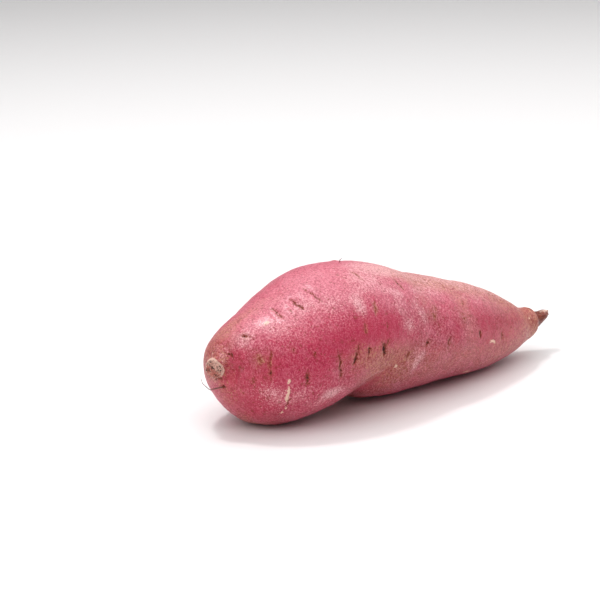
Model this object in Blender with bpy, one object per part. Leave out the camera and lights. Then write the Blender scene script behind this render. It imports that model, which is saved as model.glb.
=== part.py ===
"""Sweet potato: one storage root, lying on its side as it came out of the ground.

The skin is lofted over sections along X, from the cut head at -X to the broken root tip at +X.
Growth relief is then pressed into it or raised from it: the waist, the broad swells, the marks
round the head and the rows of eyes. The belly ends in small flat spots that it rests on, and the
origin is the middle of the footprint, at their level.
"""

import math
import random
from collections import namedtuple

import bmesh
import bpy
import numpy as np
from mathutils import Vector, noise
from mathutils.bvhtree import BVHTree

MM = 0.001

# Driving dimensions, in metres
LENGTH = 190 * MM
WIDTH = 65 * MM
THICKNESS = 61 * MM

# Corners round each section, which set how coarse the skin is
SIDES = 48

# One section of the root. The place along it is a share of LENGTH, the width and the sideways
# drift are shares of WIDTH, and the heights of its belly and back are shares of THICKNESS.
# turn swings the section round to face the front (-Y), in degrees, and rings is how many rings
# of faces lead to the next section.
Section = namedtuple("Section", "along width drift belly back turn rings")
SECTIONS = (
    Section(0.0170, 0.066, -0.01, 0.4205, 0.4875, 20, 1),  # hollow in the cut face of the head
    Section(0.0120, 0.100, -0.01, 0.4025, 0.5060, 20, 1),  # cut face
    Section(0.0165, 0.128, -0.01, 0.387, 0.520, 20, 1),  # corky rim
    Section(0.0220, 0.138, -0.01, 0.374, 0.522, 18, 2),  # neck
    Section(0.0300, 0.245, -0.01, 0.300, 0.585, 12, 3),
    Section(0.0465, 0.430, -0.005, 0.180, 0.660, 5, 4),
    Section(0.0815, 0.620, -0.015, 0.062, 0.725, 0, 6),
    Section(0.136, 0.790, -0.030, -0.005, 0.800, 0, 8),
    Section(0.215, 0.935, -0.020, -0.013, 0.918, 0, 11),
    Section(0.313, 1.000, 0.00, 0.002, 0.992, 0, 11),
    Section(0.411, 0.955, 0.00, 0.002, 0.972, 0, 12),
    Section(0.5095, 0.890, 0.00, 0.004, 0.890, 0, 11),
    Section(0.608, 0.810, 0.00, 0.000, 0.783, 0, 11),
    Section(0.696, 0.705, 0.00, -0.006, 0.690, 0, 9),
    Section(0.770, 0.600, 0.00, -0.002, 0.600, 0, 7),
    Section(0.829, 0.480, 0.00, 0.018, 0.510, 0, 5),
    Section(0.880, 0.350, 0.00, 0.060, 0.420, 0, 4),
    Section(0.918, 0.250, 0.00, 0.103, 0.360, 0, 3),
    Section(0.945, 0.190, 0.00, 0.137, 0.341, 0, 2),  # lip of the skin at the tip
    Section(0.952, 0.148, 0.00, 0.153, 0.317, -5, 2),
    Section(0.975, 0.110, 0.00, 0.197, 0.301, -15, 2),  # dried root tip
    Section(1.000, 0.070, 0.00, 0.242, 0.295, -25, 1),
    Section(1.003, 0.045, 0.00, 0.251, 0.285, -25, 0),
)

# The waist is a ring that leans along the root as it climbs from belly to back. It is made of a
# broad hollow and of a narrow crease in it, each with its spread and its depths.
WAIST_ALONG = 0.465
WAIST_LEAN = 0.140
Hollow = namedtuple("Hollow", "spread belly back")
HOLLOWS = (
    Hollow(17 * MM, 1.6 * MM, 0.9 * MM),
    Hollow(6 * MM, 2.2 * MM, 0.1 * MM),
)

# Broad swells of the skin: how wide they are and how far they rise
SWELL_SIZE = 26 * MM
SWELL_RISE = 0.9 * MM

# A mark is pressed into the skin, or raised from it where its depth is below zero. Its place
# along the root is a share of LENGTH and its angle about the root's axis is in degrees, with the
# front (-Y) at 0 and the top at 90. It is long across the root, and lean turns it, in degrees.
Mark = namedtuple("Mark", "along angle length width depth lean")
MARKS = (
    Mark(0.027, 78, 8 * MM, 4.5 * MM, -1.5 * MM, 0),  # old side shoot over the cut stub
    Mark(0.035, 38, 8 * MM, 6 * MM, 1.1 * MM, 0),  # dimple beside the cut stub
    Mark(0.098, 40, 7 * MM, 3.5 * MM, 0.4 * MM, -10),
    Mark(0.085, 18, 8 * MM, 3.2 * MM, 0.5 * MM, -5),
    Mark(0.113, -6, 8.5 * MM, 2.6 * MM, -0.4 * MM, 0),  # raised scar low on the front
    Mark(0.150, 70, 8 * MM, 2.6 * MM, 0.7 * MM, 0),
    Mark(0.193, 68, 8.5 * MM, 2.8 * MM, 0.9 * MM, 0),
    Mark(0.233, 69, 10.5 * MM, 2.6 * MM, 0.7 * MM, 6),
    Mark(0.153, 8, 6 * MM, 2.8 * MM, 0.6 * MM, 0),
    Mark(0.231, 12, 11 * MM, 2.6 * MM, 0.6 * MM, 0),
    Mark(0.272, 16, 6 * MM, 3.2 * MM, 0.9 * MM, 0),
    Mark(0.308, 19, 5 * MM, 2.6 * MM, 0.5 * MM, 0),
    Mark(0.355, 17, 8 * MM, 3.2 * MM, 1.0 * MM, 0),
    Mark(0.351, 45, 6.5 * MM, 2.6 * MM, 0.5 * MM, -20),
    Mark(0.308, 34, 5 * MM, 2.6 * MM, 0.5 * MM, 0),
    Mark(0.361, 72, 6.5 * MM, 2.8 * MM, 0.6 * MM, 10),
    Mark(0.460, 61, 6 * MM, 2.8 * MM, 0.6 * MM, 10),
    Mark(0.440, 8, 4.5 * MM, 3.0 * MM, 0.6 * MM, 0),
    Mark(0.495, 14, 5 * MM, 2.8 * MM, 0.6 * MM, -30),
    Mark(0.561, 9, 4 * MM, 2.8 * MM, 0.5 * MM, 0),
    Mark(0.672, 7, 4.5 * MM, 3.0 * MM, 0.6 * MM, 0),
    Mark(0.759, -6, 4 * MM, 2.8 * MM, 0.4 * MM, 0),
    Mark(0.580, 73, 5 * MM, 2.8 * MM, 0.5 * MM, -8),
)
# The eyes of the far side and the belly stand in rows, each at an angle, by a seeded rule
EYE_ROWS = (128, 163, 204, 240, 282)
EYE_ROW_ALONG = 0.10, 0.86
EYE_GAP = 0.055, 0.105
EYE_LENGTH = 4 * MM, 9 * MM
EYE_WIDTH = 2.8 * MM
EYE_DEPTH = 0.4 * MM, 0.9 * MM
EYE_STRAY = 5
SEED = 7
# Height of the line that the angles are measured about, as a share of THICKNESS
AXIS_HEIGHT = 0.35

# Crimson-pink skin, as linear red, green, blue and alpha
SKIN_COLOR = 0.552, 0.078, 0.136, 1.0
SKIN_ROUGHNESS = 0.5


def spline(knots, values, where):
    """A natural cubic spline through values at knots, read at where."""
    count = len(knots)
    gaps = np.diff(knots)
    rises = np.diff(values) / gaps
    system = np.eye(count)
    target = np.zeros(count)
    for i in range(1, count - 1):
        system[i, i - 1 : i + 2] = gaps[i - 1], 2 * (gaps[i - 1] + gaps[i]), gaps[i]
        target[i] = 6 * (rises[i] - rises[i - 1])
    bends = np.linalg.solve(system, target)
    i = np.clip(np.searchsorted(knots, where) - 1, 0, count - 2)
    before, after = where - knots[i], knots[i + 1] - where
    return (
        (bends[i] * after**3 + bends[i + 1] * before**3) / (6 * gaps[i])
        + (values[i] / gaps[i] - bends[i] * gaps[i] / 6) * after
        + (values[i + 1] / gaps[i] - bends[i + 1] * gaps[i] / 6) * before
    )


def rings_of_skin():
    """The skin's rings of points, from head to tip."""
    table = np.array(SECTIONS, float)
    along, width, drift, belly, back, turn, counts = table.T
    radius = (width * WIDTH + (back - belly) * THICKNESS) / 4
    steps = np.hypot(np.diff(along * LENGTH), np.diff(radius))
    knots = np.concatenate(([0], np.cumsum(steps)))
    where = np.concatenate(
        [np.linspace(knots[i], knots[i + 1], int(counts[i]), endpoint=False) for i in range(len(steps))]
        + [knots[-1:]]
    )
    along, width, drift, belly, back, turn = (
        spline(knots, column, where) for column in (along, width, drift, belly, back, turn)
    )
    angles = np.arange(SIDES) * 2 * math.pi / SIDES
    rings = []
    for i in range(len(where)):
        out = width[i] * WIDTH / 2 * np.cos(angles)
        up = (back[i] - belly[i]) * THICKNESS / 2 * np.sin(angles)
        swing = math.radians(turn[i])
        x = along[i] * LENGTH + out * math.sin(swing)
        y = drift[i] * WIDTH - out * math.cos(swing)
        z = (back[i] + belly[i]) * THICKNESS / 2 + up
        rings.append(np.stack((x, y, z), axis=1))
    return rings


def loft(bm, rings):
    """Skins the rings with quads and closes both ends."""
    loops = []
    for ring in rings:
        corners = [bm.verts.new(point) for point in ring]
        loops.append([bm.edges.new((corners[i - 1], corners[i])) for i in range(len(corners))])
    for here, there in zip(loops, loops[1:]):
        bmesh.ops.bridge_loops(bm, edges=here + there)
    for end in (loops[0], loops[-1]):
        bmesh.ops.edgeloop_fill(bm, edges=end)
    bmesh.ops.recalc_face_normals(bm, faces=bm.faces)


def shape_body(bm):
    """Draws the skin in round the waist and gives it its broad swells."""
    bm.normal_update()
    moves = []
    for vert in bm.verts:
        x, y, z = vert.co
        climb = (z / THICKNESS - 0.5) * 2
        past = x - (WAIST_ALONG + WAIST_LEAN * climb) * LENGTH
        sink = min(1.0, max(0.0, 0.1 - 1.4 * climb))
        rise = 0.0
        for hollow in HOLLOWS:
            depth = hollow.back + (hollow.belly - hollow.back) * sink
            rise -= depth * math.exp(-((past / hollow.spread) ** 2))
        rise += SWELL_RISE * noise.noise(vert.co / SWELL_SIZE)
        moves.append(vert.normal * rise)
    for vert, move in zip(bm.verts, moves):
        vert.co += move


def all_marks():
    """The marks of the near side, and rows of eyes for the far side."""
    marks = list(MARKS)
    rule = random.Random(SEED)
    for angle in EYE_ROWS:
        along = EYE_ROW_ALONG[0] + rule.uniform(0, EYE_GAP[1])
        while along < EYE_ROW_ALONG[1]:
            length, depth = rule.uniform(*EYE_LENGTH), rule.uniform(*EYE_DEPTH)
            stray = rule.uniform(-EYE_STRAY, EYE_STRAY)
            marks.append(Mark(along, angle + stray, length, EYE_WIDTH, depth, 2 * stray))
            along += rule.uniform(*EYE_GAP)
    return marks


def press_marks(bm):
    """Presses the marks into the skin and raises the scars."""
    bm.normal_update()
    skin = BVHTree.FromBMesh(bm)
    moves = [0.0] * len(bm.verts)
    for mark in all_marks():
        angle = math.radians(mark.angle)
        axis = Vector((mark.along * LENGTH, 0, AXIS_HEIGHT * THICKNESS))
        centre, normal, _, _ = skin.ray_cast(axis, Vector((0, -math.cos(angle), math.sin(angle))))
        across = Vector((1, 0, 0)).cross(normal).normalized()
        ahead = normal.cross(across)
        lean = math.radians(mark.lean)
        across, ahead = (
            across * math.cos(lean) + ahead * math.sin(lean),
            ahead * math.cos(lean) - across * math.sin(lean),
        )
        for i, vert in enumerate(bm.verts):
            offset = vert.co - centre
            if offset.length < mark.length and vert.normal.dot(normal) > 0:
                side = offset.dot(ahead) / (mark.width / 2)
                end = offset.dot(across) / (mark.length / 2)
                moves[i] -= mark.depth * math.exp(-(side**2) - end**4)
    for vert, move in zip(bm.verts, moves):
        vert.co += vert.normal * move


def rest_flat(bm):
    """Flattens the lowest of the belly to the spots that the root rests on."""
    for vert in bm.verts:
        vert.co.z = max(vert.co.z, 0.0)


def centre(bm):
    """Puts the origin at the middle of the footprint."""
    for axis in (0, 1):
        places = [vert.co[axis] for vert in bm.verts]
        middle = (min(places) + max(places)) / 2
        for vert in bm.verts:
            vert.co[axis] -= middle


def skin_material():
    """Crimson-pink sweet potato skin."""
    material = bpy.data.materials.new("sweet_potato_skin")
    material.use_nodes = True
    shader = material.node_tree.nodes["Principled BSDF"]
    shader.inputs["Base Color"].default_value = SKIN_COLOR
    shader.inputs["Roughness"].default_value = SKIN_ROUGHNESS
    return material


def main():
    for obj in list(bpy.data.objects):
        bpy.data.objects.remove(obj)
    bm = bmesh.new()
    loft(bm, rings_of_skin())
    shape_body(bm)
    press_marks(bm)
    rest_flat(bm)
    centre(bm)
    for face in bm.faces:
        face.smooth = True
    mesh = bpy.data.meshes.new("sweet_potato")
    bm.to_mesh(mesh)
    bm.free()
    mesh.materials.append(skin_material())
    root = bpy.data.objects.new("sweet_potato", mesh)
    bpy.context.scene.collection.objects.link(root)


main()
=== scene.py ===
"""Sweet potato: its skin, eyes, scars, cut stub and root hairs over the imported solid.

Run as a script. Lengths are in metres, +X runs from the cut head to the root tip and +Z is up.
"""

import math
import random

import bmesh
import bpy
import numpy as np
from mathutils import Matrix, Vector, noise
from mathutils.bvhtree import BVHTree


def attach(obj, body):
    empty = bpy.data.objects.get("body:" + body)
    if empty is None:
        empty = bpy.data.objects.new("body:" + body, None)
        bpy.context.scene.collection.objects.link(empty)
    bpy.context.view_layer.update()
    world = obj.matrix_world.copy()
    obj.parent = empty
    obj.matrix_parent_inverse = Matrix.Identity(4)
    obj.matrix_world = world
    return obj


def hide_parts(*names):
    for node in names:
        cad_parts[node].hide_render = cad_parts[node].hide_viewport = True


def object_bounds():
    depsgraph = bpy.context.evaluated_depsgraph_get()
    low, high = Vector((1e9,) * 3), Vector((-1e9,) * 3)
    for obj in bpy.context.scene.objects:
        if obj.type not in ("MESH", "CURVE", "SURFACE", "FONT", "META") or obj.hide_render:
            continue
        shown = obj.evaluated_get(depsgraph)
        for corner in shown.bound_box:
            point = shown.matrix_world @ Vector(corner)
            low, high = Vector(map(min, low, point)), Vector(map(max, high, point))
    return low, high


bl_info = {
    "name": "Sweet Potato",
    "version": (1, 0, 0),
    "blender": (4, 5, 0),
    "location": "3D View > Sidebar > Sweet Potato",
    "description": "Grows the skin, eyes and root hairs of a sweet potato over its solid",
    "category": "Add Mesh",
}

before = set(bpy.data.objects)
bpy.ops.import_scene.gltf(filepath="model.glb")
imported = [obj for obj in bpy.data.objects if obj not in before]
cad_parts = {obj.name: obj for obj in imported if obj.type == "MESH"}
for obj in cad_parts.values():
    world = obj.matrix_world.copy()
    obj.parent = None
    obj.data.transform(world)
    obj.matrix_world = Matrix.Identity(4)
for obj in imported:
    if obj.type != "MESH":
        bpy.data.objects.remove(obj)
CAD_LOW, CAD_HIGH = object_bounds()

MM = 0.001
NODE = "sweet_potato"
BODY = "root"

# The root's own measures, from its solid
LENGTH = 190 * MM
START_X = CAD_HIGH.x - 1.0042 * LENGTH
THICKNESS = CAD_HIGH.z - CAD_LOW.z
# The line that angles are measured about: 0 is the front (-Y) and 90 is the top
AXIS_HEIGHT = 0.35 * 61 * MM
# A patch near an end is measured as if the root were this thick
LEAST_RADIUS = 8 * MM

# The waist: a ring that leans along the root as it climbs, as in the solid
WAIST_ALONG = 0.465
WAIST_LEAN = 0.140


def linear(code):
    """An sRGB colour such as "#C44F67" as linear red, green and blue."""
    parts = [int(code[i : i + 2], 16) / 255 for i in (1, 3, 5)]
    return tuple(c / 12.92 if c <= 0.04045 else ((c + 0.055) / 1.055) ** 2.4 for c in parts)


# An eye is a transverse crease in the skin: its share along, its angle, its length and width in
# millimetres, how deep it is in millimetres, how many degrees it leans, and how strongly its
# bottom is dark and its surroundings are corky, from 0 to 1.
EYES = (
    (0.071, 67, 3.4, 1.3, 0.45, 45, 0.72, 0.55),
    (0.066, 70, 1.6, 1.0, 0.20, 30, 0.60, 0.30),
    (0.079, 59, 2.2, 0.9, 0.25, 50, 0.70, 0.20),
    (0.150, 70, 7.8, 1.0, 0.40, 0, 0.75, 0.40),
    (0.172, 66, 3.0, 0.9, 0.25, 0, 0.50, 0.25),
    (0.193, 68, 8.0, 1.3, 0.55, 6, 0.85, 0.35),
    (0.233, 69, 10.2, 1.1, 0.45, 12, 0.78, 0.40),
    (0.361, 72, 6.2, 1.0, 0.25, 15, 0.65, 0.50),
    (0.460, 61, 5.2, 1.1, 0.35, 15, 0.80, 0.55),
    (0.581, 73, 4.8, 0.9, 0.25, -11, 0.50, 0.45),
    (0.617, 65, 4.0, 0.9, 0.25, -34, 0.40, 0.45),
    (0.351, 45, 5.6, 1.0, 0.25, -18, 0.50, 0.85),
    (0.307, 34, 4.4, 1.0, 0.30, -12, 0.50, 0.75),
    (0.369, 32, 2.6, 1.0, 0.25, -15, 0.40, 0.50),
    (0.284, 53, 3.0, 0.9, 0.20, -30, 0.35, 0.20),
    (0.529, 34, 2.6, 1.3, 0.30, -25, 0.60, 0.60),
    (0.541, 40, 2.3, 1.2, 0.30, -25, 0.50, 0.50),
    (0.644, 42, 2.8, 1.3, 0.30, -35, 0.50, 0.60),
    (0.621, 26, 2.6, 1.3, 0.25, -27, 0.40, 0.50),
    (0.135, 33, 2.8, 1.3, 0.25, -21, 0.50, 0.60),
    (0.174, 25, 2.6, 1.3, 0.25, -10, 0.50, 0.60),
    (0.087, 26, 12.5, 1.2, 0.30, -13, 0.50, 0.65),
    (0.153, 8, 4.8, 1.9, 0.50, -4, 0.85, 0.45),
    (0.231, 12, 10.6, 1.6, 0.40, 4, 0.75, 0.65),
    (0.272, 16, 4.6, 2.3, 0.70, -12, 1.00, 0.45),
    (0.280, 23, 1.8, 1.0, 0.25, 0, 0.60, 0.30),
    (0.308, 19, 3.4, 1.7, 0.40, 0, 0.95, 0.40),
    (0.355, 17, 5.2, 2.0, 0.90, 4, 0.95, 0.55),
    (0.349, 21, 3.2, 0.7, 0.25, 42, 0.80, 0.10),
    (0.362, 21, 4.2, 0.8, 0.25, -38, 0.85, 0.10),
    (0.361, 13, 3.0, 0.8, 0.25, 30, 0.60, 0.10),
    (0.440, 7, 2.6, 1.5, 0.40, 0, 0.70, 0.45),
    (0.496, 14, 3.4, 1.4, 0.45, -30, 0.80, 0.45),
    (0.561, 9, 3.2, 1.4, 0.40, -10, 0.75, 0.45),
    (0.672, 7, 3.6, 1.4, 0.35, 0, 0.65, 0.70),
    (0.759, -6, 3.2, 1.5, 0.30, 0, 0.40, 0.50),
    (0.072, 35, 3.8, 1.8, 0.25, -10, 0.45, 0.90),
    (0.043, 35, 2.0, 1.2, 0.30, 0, 0.70, 0.40),
    (0.058, 11, 3.0, 1.4, 0.20, 0, 0.30, 0.60),
    (0.051, -13, 3.0, 1.4, 0.20, 0, 0.25, 0.50),
    (0.032, -34, 1.6, 1.4, 0.35, 0, 1.00, 0.30),
)

# The eyes of the far side and the belly, by the rule that dents the solid there: the angles of
# their rows, the shares along that the rows span, the gaps, the lengths and depths in millimetres,
# and how many degrees an eye strays from its row
EYE_ROWS = (128, 163, 204, 240, 282)
EYE_ROW_ALONG = 0.10, 0.86
EYE_GAP = 0.055, 0.105
EYE_LENGTH = 4, 9
EYE_DEPTH = 0.4, 0.9
EYE_STRAY = 5
EYE_SEED = 7
# Their widths in millimetres, how dark and how corky they are, and their depth beside the dents'
HIDDEN_EYE_SPANS = (0.9, 1.5), (0.45, 1.0), (0.3, 0.8)
HIDDEN_EYE_DEPTH = 0.6
# A crease's path has this many steps each way, of this share of its length, and wanders by this
EYE_STEPS = 3
EYE_STEP = 1 / 5.2
EYE_WANDER = 0.4 * MM
# A crease's parts in widths of the eye: its cleft, and how far its cork and its red surround reach
CLEFT = 0.38
CORK_REACH = 1.1
RED_REACH = 2.0
# Size of the swells and narrows along a crease
SWELL = 1.7 * MM

# A line on the skin: its points as shares along and angles, its width and its rise in
# millimetres, its stain and how strong that is, from 0 to 1. A rise below zero presses it in.
LINES = (
    (((0.1155, 3), (0.1165, -3), (0.1145, -8), (0.1155, -15)), 1.3, 0.35, "scar", 1.0),
    (((0.1150, 11), (0.1165, 8), (0.1145, 5)), 1.1, 0.25, "scar", 0.9),
    (((0.1180, -21), (0.1200, -22), (0.1220, -22)), 1.3, 0.25, "scar", 0.9),
    (((0.1140, -30), (0.1170, -28), (0.1200, -27)), 1.3, 0.25, "scar", 0.9),
    (((0.1215, -10), (0.1210, -15), (0.1180, -19)), 1.1, -0.25, "eye", 0.5),
    (((0.485, 8), (0.468, -3), (0.455, -15)), 3.4, 0.45, "pale", 0.8),
    (((0.304, -18), (0.321, -6), (0.359, -4), (0.416, -11)), 2.0, 0.40, "pale", 0.70),
    (((0.300, -25), (0.322, -13), (0.362, -10), (0.410, -17)), 1.4, 0.25, "pale", 0.55),
    (((0.330, 2), (0.365, 3), (0.410, -3), (0.430, -10)), 1.5, 0.30, "pale", 0.60),
    (((0.408, -5), (0.412, -3), (0.417, -1)), 1.5, 0.30, "scar", 1.0),
    (((0.703, -7), (0.712, -6), (0.722, -7), (0.731, -11)), 1.3, 0.25, "scar", 0.95),
    (((0.655, -46), (0.668, -46), (0.683, -48)), 1.8, 0.20, "scar", 0.9),
    (((0.452, 66), (0.478, 47), (0.490, 30), (0.488, 22)), 1.3, 0.12, "pale", 0.35),
    (((0.470, 66), (0.492, 48), (0.505, 32), (0.503, 26)), 1.1, -0.10, "pale", 0.25),
    (((0.487, 60), (0.508, 44), (0.516, 33)), 1.1, 0.10, "pale", 0.35),
    (((0.032, 71), (0.037, 64), (0.038, 56)), 0.8, -0.35, "eye", 0.9),
    # The dimple right of the stub: pressed in, its brownish red deepened with russet and crimson as
    # painted shade
    (((0.037, 53), (0.040, 43), (0.043, 30)), 6.5, -1.50, "russet", 1.0),
    (((0.037, 52), (0.040, 43), (0.043, 32)), 5.5, 0, "crimson", 0.6),
    (((0.931, -14), (0.937, -22), (0.940, -29), (0.942, -44)), 1.6, -0.50, "dry", 1.0),
    (((0.929, -12), (0.935, -26), (0.938, -40)), 1.0, -0.20, "eye", 1.0),
    (((0.905, -19), (0.909, -24)), 1.6, 0.15, "scar", 0.8),
)

# A patch where the skin is corky, rubbed pale or deeply coloured: its share along, its angle, how
# far it reaches along and round the root in millimetres, and its strength. From head to tip. The
# pale ones on the head's upper side at 0.110 and 0.115 along are a painted highlight over rubbed skin.
TAN_PATCHES = (
    (0.025, -35, 5, 9, 0.60),
    (0.025, 72, 2.6, 3.2, 0.70),
    (0.040, 120, 10, 14, 0.35),
    (0.045, 100, 9, 9, 0.55),
    (0.072, 37, 4, 5, 0.40),
    (0.076, 14, 4, 8, 0.25),
    (0.090, 96, 9, 5, 0.45),
    (0.160, 92, 16, 8, 0.35),
    (0.275, 22, 8, 6, 0.50),
    (0.300, 13, 8, 6, 0.32),
    (0.309, 35, 2, 4, 0.35),
    (0.325, 4, 10, 6, 0.38),
    (0.330, 14, 12, 6, 0.55),
    (0.350, -8, 10, 9, 0.45),
    (0.351, 45, 2, 4, 0.35),
    (0.385, 8, 14, 7, 0.40),
    (0.405, -2, 11, 12, 0.75),
    (0.470, 78, 12, 5, 0.55),
    (0.511, -9, 15, 11, 0.35),
    (0.515, 48, 6, 12, 0.45),
    (0.560, 76, 30, 8, 0.90),
    (0.560, 98, 28, 12, 0.40),
    (0.640, -14, 30, 10, 0.50),
    (0.640, 36, 7, 13, 0.55),
    (0.680, 74, 28, 7, 0.90),
    (0.720, 100, 30, 14, 0.50),
    (0.800, -25, 24, 12, 0.50),
    (0.805, 36, 9, 10, 0.35),
    (0.830, 60, 22, 8, 0.80),
    (0.870, -30, 14, 6, 0.45),
    (0.890, -25, 12, 14, 0.45),
    (0.925, 0, 9, 40, 0.60),
    (0.932, -10, 7, 18, 0.55),
)
RUSSET_PATCHES = (
    (0.030, -15, 9, 12, 0.60),
    (0.030, 95, 8, 9, 0.90),
    (0.033, 50, 5, 5, 0.70),
    (0.045, 33, 4, 4, 0.50),
    (0.060, 20, 9, 11, 0.55),
    (0.070, 25, 8, 8, 0.35),
    (0.080, -30, 14, 9, 0.50),
    (0.098, -52, 10, 5, 0.75),
    (0.262, 6, 5, 5, 0.28),
    (0.300, 20, 14, 8, 0.40),
    (0.303, -1, 6, 5, 0.30),
    (0.348, 80, 12, 5, 0.28),
    (0.350, -14, 14, 10, 0.70),
    (0.386, 15, 6, 5, 0.30),
    (0.405, -8, 14, 11, 0.45),
    (0.505, 35, 9, 10, 0.45),
    (0.511, -14, 22, 12, 0.60),
    (0.620, 30, 12, 12, 0.45),
    (0.690, -20, 28, 14, 0.62),
    (0.735, -1, 16, 6, 0.28),
    (0.790, 20, 14, 12, 0.50),
    (0.830, -14, 24, 8, 0.32),
    (0.830, 10, 20, 24, 0.85),
    (0.900, 40, 16, 20, 0.75),
    (0.920, -8, 15, 18, 0.95),
)
PALE_PATCHES = (
    (0.025, 72, 2.4, 3.0, 0.60),
    (0.058, 70, 5, 5, 0.42),
    (0.065, 62, 3, 5, 0.55),
    (0.087, -4, 6, 6, 0.68),
    (0.100, 74, 7, 6, 0.25),
    # Painted highlight over rubbed skin: this patch and the one at 0.115 along whiten the head's glint
    (0.110, 66, 8, 6, 0.40),
    (0.113, -15, 6, 5, 0.40),
    (0.115, 68, 1.8, 1.8, 0.90),
    (0.119, 57, 4, 4, 0.30),
    (0.138, 53, 6, 5, 0.50),
    (0.142, -10, 6, 3, 0.30),
    (0.149, -2, 6, 5, 0.42),
    (0.155, 40, 7, 6, 0.25),
    (0.190, -18, 6, 2.5, 0.55),
    (0.190, 62, 5, 6, 0.50),
    (0.212, 65, 4, 5, 0.50),
    (0.217, -11, 5, 3, 1.00),
    (0.235, -9, 6, 2.5, 0.80),
    (0.250, 58, 9, 6, 0.35),
    (0.255, 55, 7, 7, 0.45),
    (0.285, 80, 14, 8, 0.18),
    (0.312, 50, 4, 7, 0.90),
    (0.335, 71, 6, 5, 0.45),
    (0.349, 60, 6, 5, 0.55),
    (0.380, 68, 9, 6, 0.65),
    (0.395, 84, 11, 7, 0.65),
    (0.404, 57, 5, 4, 0.50),
    (0.424, 43, 5, 5, 0.55),
    (0.427, 37, 5, 4, 0.15),
    (0.436, 54, 4, 4, 0.70),
    (0.440, 30, 5, 4, 0.75),
    (0.445, 76, 12, 5, 0.85),
    (0.456, 2, 4, 5, 0.40),
    (0.470, 44, 4, 4, 0.40),
    (0.470, 84, 14, 8, 0.70),
    (0.492, 36, 3, 5, 0.60),
    (0.500, 20, 12, 8, 0.30),
    (0.504, 57, 6, 5, 0.50),
    (0.560, 58, 9, 5, 0.50),
    (0.560, 80, 24, 9, 0.65),
    (0.640, 20, 9, 8, 0.45),
    (0.690, 45, 7, 5, 0.30),
    (0.690, 76, 26, 9, 0.65),
    (0.700, 98, 30, 12, 0.35),
    (0.820, 66, 22, 9, 0.50),
)
CRIMSON_PATCHES = (
    (0.030, 105, 8, 12, 0.40),
    (0.031, 54, 4, 4, 0.75),
    (0.032, 84, 3, 4, 0.45),
    (0.043, 52, 4, 4, 0.70),
    (0.060, -8, 12, 16, 0.75),
    (0.079, -16, 12, 12, 0.35),
    (0.088, 21, 3, 8, 0.85),
    (0.090, 66, 3, 4, 0.55),
    (0.098, -50, 10, 5, 0.55),
    (0.130, 20, 14, 12, 0.30),
    (0.181, 33, 12, 7, 0.45),
    (0.185, 11, 6, 6, 0.60),
    (0.200, 14, 36, 18, 0.50),
    (0.240, 28, 9, 6, 0.60),
    (0.262, 6, 5, 5, 0.30),
    (0.299, 30, 12, 8, 0.75),
    (0.303, -1, 6, 5, 0.32),
    (0.314, 39, 6, 4, 0.35),
    (0.350, 29, 14, 9, 0.60),
    (0.386, 15, 5, 4, 0.40),
    (0.386, 25, 6, 4, 0.55),
    (0.394, 33, 8, 7, 0.70),
    (0.430, 24, 12, 5, 0.40),
    (0.560, 42, 20, 8, 0.35),
    (0.591, 17, 3, 6, 0.60),
    (0.620, -25, 36, 9, 0.35),
    (0.634, 42, 5, 5, 0.35),
    (0.660, 8, 34, 16, 0.42),
    (0.674, 34, 7, 6, 0.50),
    (0.695, -3, 9, 6, 0.38),
    (0.696, 17, 9, 7, 0.60),
    (0.775, -4, 10, 6, 0.38),
    (0.820, -8, 10, 6, 0.40),
    (0.820, 12, 18, 16, 0.45),
    (0.867, -24, 9, 6, 0.38),
    (0.900, -15, 16, 18, 0.45),
)
# Patches of the hidden sides: how many of each kind, and their spans of shares along, angles,
# reaches along and round the root in metres, and strengths
HIDDEN_PATCHES = 16
HIDDEN_SPANS = (0.06, 0.9), (118, 288), (4 * MM, 14 * MM), (4 * MM, 12 * MM), (0.4, 0.8)
PATCH_SEED = 11

# Fine relief of the skin: the sizes of its lumps and how far they rise, and its wrinkles across
LUMPS = ((9 * MM, 0.22 * MM), (3.5 * MM, 0.09 * MM))
WRINKLE_ALONG = 1.5 * MM
WRINKLE_ROUND = 14 * MM
WRINKLE_RISE = 0.07 * MM
# How far the wrinkles wander along the root, and over what length
WRINKLE_WANDER = 1.2 * MM
WRINKLE_WANDER_SIZE = 8 * MM
# Shares along between which the lumps and wrinkles fade out before the lip of the tip
CALM_ALONG = 0.93, 0.95
# The waist's brownish skin, and the deep red of its bottom, darker on the lower side as painted shade
WAIST_REACH = 13 * MM
WAIST_BOTTOM_PAST = -4 * MM
WAIST_CRIMSON_SHADE_REACH = 6 * MM
WAIST_RUSSET_SHADE_REACH = 7 * MM
# The soft valley pressed in on the head's side of the waist, and how it leans as it climbs
WAIST_PINCH = 2.0 * MM
WAIST_PINCH_PAST = -6 * MM
WAIST_PINCH_LEAN = 9 * MM
WAIST_PINCH_REACH = 10 * MM
# Dust, with a painted highlight of the lights above, lies where the skin faces up at least this much
DUST_AND_HIGHLIGHT_UP = 0.45

# The cut stub at the head: the middle of its face, the way it looks, its radius and its length
STUB_CENTRE = Vector((-93.2, -0.65, 27.7)) * MM
STUB_TURN = math.radians(35)
STUB_LOOK = Vector((-math.cos(STUB_TURN), -math.sin(STUB_TURN), 0))
STUB_SIDE = Vector((math.sin(STUB_TURN), -math.cos(STUB_TURN), 0))
STUB_RADIUS = 4.1 * MM
STUB_LENGTH = 2.6 * MM
STUB_RIM_RISE = 0.3 * MM
# The torn relief of its face: sizes and rises
STUB_TEAR = ((1.1 * MM, 0.42 * MM), (0.45 * MM, 0.18 * MM))
# Shares of the length: where the dried root tip leaves the lip of the skin, the lip's corky band
# and its reach, how far the skin round it is red, and where the broken end of the tip starts
TIP_ALONG = 0.950
LIP_ALONG = 0.932
LIP_REACH = 0.016
TIP_RED_REACH = 0.035
TIP_END_ALONG = 0.990
# The tip's fibres: length, width and rise
FIBRE_LENGTH = 5 * MM
FIBRE_WIDTH = 0.9 * MM
FIBRE_RISE = 0.35 * MM

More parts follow.
